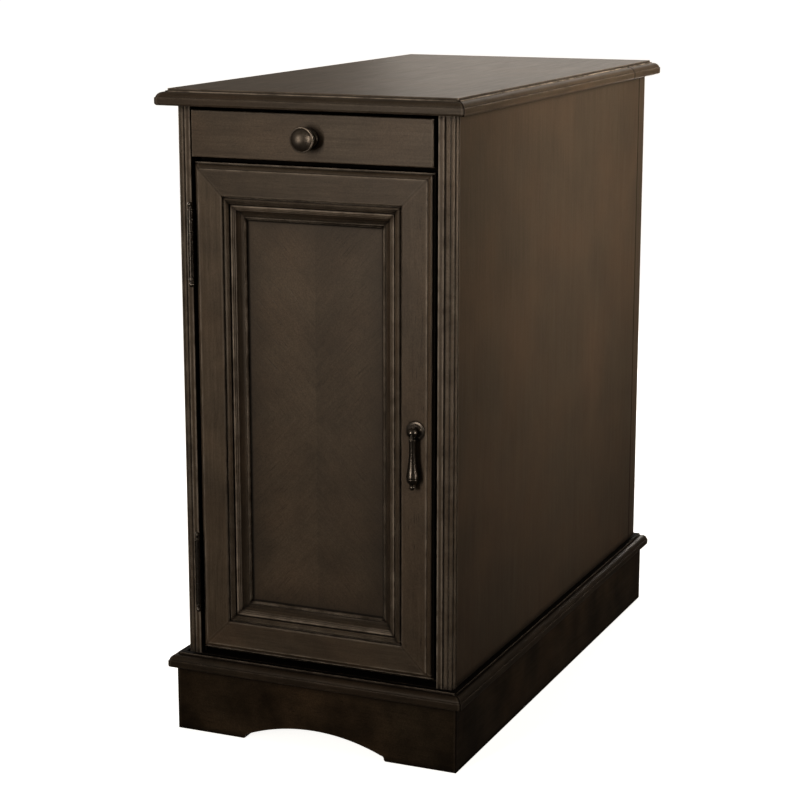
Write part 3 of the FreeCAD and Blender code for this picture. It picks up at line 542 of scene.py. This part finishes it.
def base_moulding_wood(axis):
    """The moulding on the plinth, which is mitred at the corners of the case."""
    net, figures, place = board("base_moulding_wood", axis)
    return stained_finish(net, figures, place, joint=off_base_mitre(net), mottle=0.3, sheen=0.14)


def plinth_wood(axis):
    """The boards of the plinth, in a dark and cloudy stain with little gloss, darkened further by painted
    shade.
    """
    net, figures, place = board("plinth_wood", axis)
    return stained_finish(net, figures, place, joint=off_base_mitre(net), contrast=0.6, mottle=0.5, wear_and_painted_light=0.5,
                          sheen=0.09, richness=1.12)


def top_edge_wood(axis):
    """The moulding around the top, with a butt joint near the rear of each side."""
    net, figures, place = board("top_edge_wood", axis)
    corner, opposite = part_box("top_moulding_front")[0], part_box("top_moulding_rear")[1]
    mitre = off_mitre(net, corner, opposite, along=Y, across=X)
    joint = net.math("MINIMUM", mitre, off_seam(net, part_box("top_moulding_returns")[0][Y]))
    return stained_finish(net, figures, place, joint=joint, wear_and_painted_light=1.3, sheen=0.25)


def side_wood(axis):
    """The panel and rear stile of each side, which butt along an upright joint."""
    net, figures, place = board("side_wood", axis)
    joint = off_seam(net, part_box("rear_stile_right")[0][Y])
    return stained_finish(net, figures, place, joint=joint, contrast=0.4, mottle=0.10)


def door_mitred_wood(axis):
    """Rails, stiles and inner mouldings that meet at the corners of the door."""
    net, figures, place = board("door_mitred_wood", axis)
    corner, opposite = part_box("door_stile_left")[0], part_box("door_stile_right")[1]
    joint = off_mitre(net, corner, opposite, along=Z, across=X)
    return stained_finish(net, figures, place, joint=joint, joint_depth=0.2, mottle=0.24, wear_and_painted_light=1.5)


def panel_glaze(net, half, folded, depth):
    """The edge dulled by glaze and painted shade, and the black line of painted shade, around the front of
    the door panel next to the door's frame.
    """
    split = net.add("SeparateXYZ", {0: folded}, output=None)
    from_side = net.math("SUBTRACT", half.x, split[X])
    from_end = net.math("SUBTRACT", half.z, split[Z])
    edge = net.math("MINIMUM", from_side, from_end)
    dulled_and_shaded = net.spread(edge, PANEL_LAP, PANEL_LAP + PANEL_SHADE, PANEL_SHADE_DEPTH, 0.0)
    # Painted shade: a black line in the corner between the panel and the frame's moulding
    shade_line = net.spread(edge, PANEL_LAP + PANEL_SHADE_LINE / 2, PANEL_LAP + PANEL_SHADE_LINE, PANEL_SHADE_LINE_DEPTH, 0.0)
    front = net.spread(depth, -PANEL_FRONT, 0.0, 1.0, 0.0)
    return net.math("MULTIPLY", net.math("MAXIMUM", dulled_and_shaded, shade_line), front)


def matched_veneer():
    """The door panel: four diagonal leaves that mirror each other across both middle lines."""
    net = Shading("matched_veneer")
    low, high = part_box("door_panel")
    offset, folded = off_middle(net, low, high)
    turned = net.add("VectorRotate", {"Vector": folded, "Angle": LEAF_SLANT}, rotation_type="Y_AXIS")
    split = net.add("SeparateXYZ", {0: offset}, output=None)
    # Painted sheen: the left half of the panel lighter, the right half darker
    tone = net.spread(split[X], -LEAF_STEP, LEAF_STEP, *LEAF_SHEEN_TONES)
    dulled_and_shaded = panel_glaze(net, (high - low) / 2, folded, split[Y])
    figures = grain(net, turned, "z")
    return stained_finish(net, figures, net.here(), tone, dulled_and_shaded, contrast=0.6, mottle=0.2)


def edge_stain_and_gap_shade():
    """The plain dark stain on the edges of the drawer front and the door, used too as painted shade on what
    the gaps show.
    """
    net = Shading("edge_stain_and_gap_shade")
    streaks = net.noise(board_place(net), **EDGE_STREAKS)
    colour = net.mix(net.spread(streaks, *NOISE_SPAN), GLAZE_AND_SHADE, EDGE_STAIN_AND_GAP_SHADE)
    shader = {"Base Color": colour, "Roughness": EDGE_ROUGHNESS, "Specular IOR Level": EDGE_SHEEN}
    return net.finish(shader, streaks, depth=0.05 * MILLIMETRE, strength=0.3)


def bare_wood(axis):
    """Sealed hardwood inside the cabinet, with no stain."""
    net, figures = board("bare_wood", axis)[:2]
    streaks, bands, pores = figures[:3]
    figure = blend(net, streaks, bands, BARE_STREAKS_IN_FIGURE)
    colour = net.mix(net.spread(figure, *NOISE_SPAN), BARE_DARK, BARE_LIGHT)
    colour = net.mix(net.spread(pores, *BARE_PORE_SPAN, 0.0, BARE_PORE_STRENGTH), colour, BARE_DARK)
    # Painted shade darkens the inside corners
    corner_shade = net.math("MULTIPLY", crevices(net, **BARE_CORNER_SHADE), BARE_CORNER_SHADE_DEPTH)
    shader = {"Base Color": net.mix(corner_shade, colour, DARK_STAIN_AND_SHADE), "Roughness": BARE_ROUGHNESS}
    return net.finish(shader, streaks, depth=0.1 * MILLIMETRE, strength=0.4)


def metal(name, colour, rubbed, roughness, patina):
    """Cast or pressed metal with a mottled surface, and brighter where hands and edges rub."""
    net = Shading(name)
    mottle = net.noise(net.here(), **METAL_MOTTLE)
    tint = net.mix(net.spread(mottle, *MOTTLE_SPAN, 0.0, patina), colour, rubbed)
    tint = net.mix(net.math("MULTIPLY", arrises(net, **METAL_EDGE), METAL_RUB_STRENGTH), tint, rubbed)
    rough = net.spread(mottle, *NOISE_SPAN, roughness + UNEVEN_GLOSS, roughness - UNEVEN_GLOSS)
    shader = {"Base Color": tint, "Metallic": 1.0, "Roughness": rough}
    return net.finish(shader, mottle, depth=0.05 * MILLIMETRE, strength=0.12)


def moulded_plastic():
    """The catch's case."""
    net = Shading("moulded_plastic")
    skin = net.noise(net.here(), **PLASTIC_SKIN)
    rough = net.spread(skin, *NOISE_SPAN, *PLASTIC_ROUGHNESS)
    shader = {"Base Color": opaque(PLASTIC), "Roughness": rough}
    return net.finish(shader, skin, depth=0.05 * MILLIMETRE, strength=0.4)


def eased_mesh(node):
    """The mesh of a node, cleaned up and with softened long arrises."""
    work = bmesh.new()
    work.from_mesh(NODES[node].data)
    bmesh.ops.remove_doubles(work, verts=work.verts, dist=SAME_POINT)
    bmesh.ops.dissolve_limit(work, angle_limit=FLAT_JOIN, verts=work.verts, edges=work.edges)
    sharp = []
    for edge in work.edges:
        if len(edge.link_faces) == 2 and edge.calc_length() > SHORTEST_ARRIS:
            if edge.calc_face_angle_signed(0.0) > LEAST_BEND:
                sharp.append(edge)
    bmesh.ops.bevel(work, geom=sharp, offset=ARRIS, offset_type="OFFSET", segments=ARRIS_SEGMENTS,
                    profile=0.5, affect="EDGES", clamp_overlap=True, harden_normals=False)
    mesh = bpy.data.meshes.new(node + "_eased")
    work.to_mesh(mesh)
    work.free()
    mesh.shade_smooth()
    mesh.set_sharp_from_angle(angle=CREASE)
    return mesh


def eased(node):
    """A copy of a node's wood with softened long arrises, which stands for the node."""
    piece = bpy.data.objects.new(node + "_eased", eased_mesh(node))
    bpy.context.scene.collection.objects.link(piece)
    keep_flat_faces_flat(piece)
    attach(piece, body_of(node))
    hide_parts(node)
    return piece


def keep_flat_faces_flat(piece):
    """Weights the normals by face area, so that a softened arris doesn't bend a flat board's shading."""
    weigh = piece.modifiers.new("weigh", "WEIGHTED_NORMAL")
    weigh.keep_sharp = True
    weigh.weight = FLAT_FACE_WEIGHT


def body_of(node):
    """The body that carries a CAD node."""
    bodies = frame["record"]["behaviour"]["bodies"]
    return next(name for name, members in bodies.items() if node in members)


def darken_faces(piece, planes, material):
    """Gives the material to a piece's faces that lie in any of these planes, each an axis and a place."""
    piece.data.materials.append(material)
    for face in piece.data.polygons:
        for axis, reach in planes:
            if abs(face.center[axis] - reach) < TOUCH and abs(face.normal[axis]) > SQUARE_ON:
                face.material_index = 1


def edge_planes(corner, opposite):
    """The sides, top and bottom of a box seen from the front."""
    return [(axis, place[axis]) for axis in (X, Z) for place in (corner, opposite)]


def dress(piece, material):
    """Gives a piece one material in every slot."""
    if not piece.data.materials:
        piece.data.materials.append(material)
    for index in range(len(piece.data.materials)):
        piece.data.materials[index] = material


def tone_and_painted_light_of(node):
    """How light a piece's tone is beside the rest, painted light and shade included, where 1 is the usual
    stain.
    """
    for start, shade in TONES_AND_PAINTED_LIGHT.items():
        if node.startswith(start):
            return shade
    return 1.0


def dress_boards():
    """Every wooden piece but the door panel, each with its own shift of the figure and its own tone."""
    chance = random.Random(BOARD_SEED)
    groups = ((STAINED, stained_wood), (REEDED, reeded_wood), (SIDES, side_wood), (TOP_EDGE, top_edge_wood),
              (BASE_EDGE, base_moulding_wood), (PLINTH, plinth_wood), (MITRED_IN_DOOR, door_mitred_wood),
              (BARE, bare_wood))
    pieces = {}
    for group, make in groups:
        for axis, nodes in group.items():
            material = make(axis)
            for node in nodes:
                piece = eased(node)
                dress(piece, material)
                piece["shift"] = [chance.uniform(-SHIFT_REACH, SHIFT_REACH) for step in range(3)]
                piece["tone"] = chance.uniform(*TONE_SPREAD) * tone_and_painted_light_of(node)
                pieces[node] = piece
    return pieces


def dress_door_panel():
    """The veneered panel, whose leaves meet at its own middle, so that it needs no shift."""
    panel = eased("door_panel")
    dress(panel, matched_veneer())
    panel["tone"] = 1.0


def stain_edges_and_shade_gaps(pieces):
    """Edge stain around the drawer front and the door, and painted shade on the faces that the gaps around
    them show and on the ledge of the base moulding.
    """
    edge = edge_stain_and_gap_shade()
    darken_faces(pieces["drawer_front"], edge_planes(*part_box("drawer_front")), edge)
    around = edge_planes(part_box("door_stile_left")[0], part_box("door_stile_right")[1])
    for node in ("door_rail_top", "door_rail_bottom"):
        darken_faces(pieces[node], around, edge)
    for node in ("door_stile_left", "door_stile_right"):
        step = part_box(node)[0][Y] + DOOR_STEP
        darken_faces(pieces[node], around + [(Y, step)], edge)
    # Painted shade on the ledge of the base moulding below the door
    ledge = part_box("base_moulding_front")[1][Z]
    for nodes in BASE_EDGE.values():
        for node in nodes:
            darken_faces(pieces[node], [(Z, ledge)], edge)
    # Painted shade on the front and top faces behind the gaps
    for node in SHADED_BEHIND_GAPS:
        low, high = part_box(node)
        darken_faces(pieces[node], [(Y, low[Y]), (Z, high[Z])], edge)


def dress_fittings():
    """Hinges, knob and pull in dark bronze, screws and small fittings in steel, and the catch's case."""
    bronze = metal("dark_bronze", BRONZE, BRONZE_RUBBED, roughness=0.30, patina=0.25)
    brushed = metal("brushed_bronze", KNOB_BRONZE, BRONZE_RUBBED, roughness=0.50, patina=0.25)
    steel = metal("plated_steel", STEEL, STEEL, roughness=0.50, patina=0.1)
    plastic = moulded_plastic()
    kinds = ((BRONZES, bronze), (["drawer_knob"], brushed), (STEELS, steel), (["door_catch"], plastic))
    for nodes, material in kinds:
        for node in nodes:
            dress(NODES[node], material)


def area_light(name, place, target, size, power, beam):
    """A warm soft box of this width and height at place, whose beam is this wide and faces target."""
    lamp = bpy.data.lights.new(name, "AREA")
    lamp.shape = "RECTANGLE"
    lamp.size, lamp.size_y = size
    lamp.energy = power
    lamp.color = LAMPLIGHT
    lamp.spread = beam
    box = bpy.data.objects.new(name, lamp)
    box.location = place
    box.rotation_mode = "QUATERNION"
    box.rotation_quaternion = (Vector(target) - Vector(place)).to_track_quat("-Z", "Y")
    box.visible_camera = False
    bpy.context.scene.collection.objects.link(box)


def studio_floor():
    """A pale floor that glows, so that the camera sees it white, and that lights nothing on the cabinet."""
    bpy.ops.mesh.primitive_plane_add(size=FLOOR_WIDTH)
    floor = bpy.context.object
    floor.name = "floor"
    net = Shading("pale_floor")
    clouds = net.spread(net.noise(net.here(), **FLOOR_CLOUDS), *NOISE_SPAN, *FLOOR_TONES)
    colour = net.add("HueSaturation", {"Color": opaque(FLOOR), "Value": clouds})
    glow = {"Emission Color": opaque(FLOOR), "Emission Strength": FLOOR_GLOW}
    dress(floor, net.finish({"Base Color": colour, "Roughness": FLOOR_ROUGHNESS, **glow}))
    floor.visible_glossy = False
    floor.visible_diffuse = False


def studio_sky():
    """A world that is pale above, palest for the camera, and dark below the floor."""
    net = Shading("studio_sky", bpy.data.worlds)
    bpy.context.scene.world = net.owner
    height = net.add("SeparateXYZ", {0: net.add("TexCoord", output="Generated")}, output="Z")
    light = net.mix(net.spread(height, *SKY_SPAN), SKY_LOW, SKY_HIGH)
    seen = net.mix(net.add("LightPath", output="Is Camera Ray"), light, SKY_SEEN)
    net.add("OutputWorld", {"Surface": net.add("Background", {"Color": seen})})


def studio():
    """A pale floor under a pale sky, with soft boxes in front, at both sides and behind."""
    studio_floor()
    studio_sky()
    for name, settings in LIGHTS.items():
        area_light(name, **settings)
    bpy.context.scene.view_settings.view_transform = "Standard"


def camera():
    """The camera at the photographer's place, with no shift."""
    lens = bpy.data.cameras.new("camera")
    lens.lens = FOCAL_PIXELS / FRAME_PIXELS * lens.sensor_width
    eye = bpy.data.objects.new("camera", lens)
    turn = Matrix.Rotation(CAMERA_YAW, 4, "Z") @ Matrix.Rotation(math.pi / 2 - CAMERA_PITCH, 4, "X")
    eye.matrix_world = Matrix.Translation(CAMERA_PLACE) @ turn
    bpy.context.scene.collection.objects.link(eye)
    bpy.context.scene.camera = eye


dressed = dress_boards()
dress_door_panel()
stain_edges_and_shade_gaps(dressed)
dress_fittings()
studio()
camera()
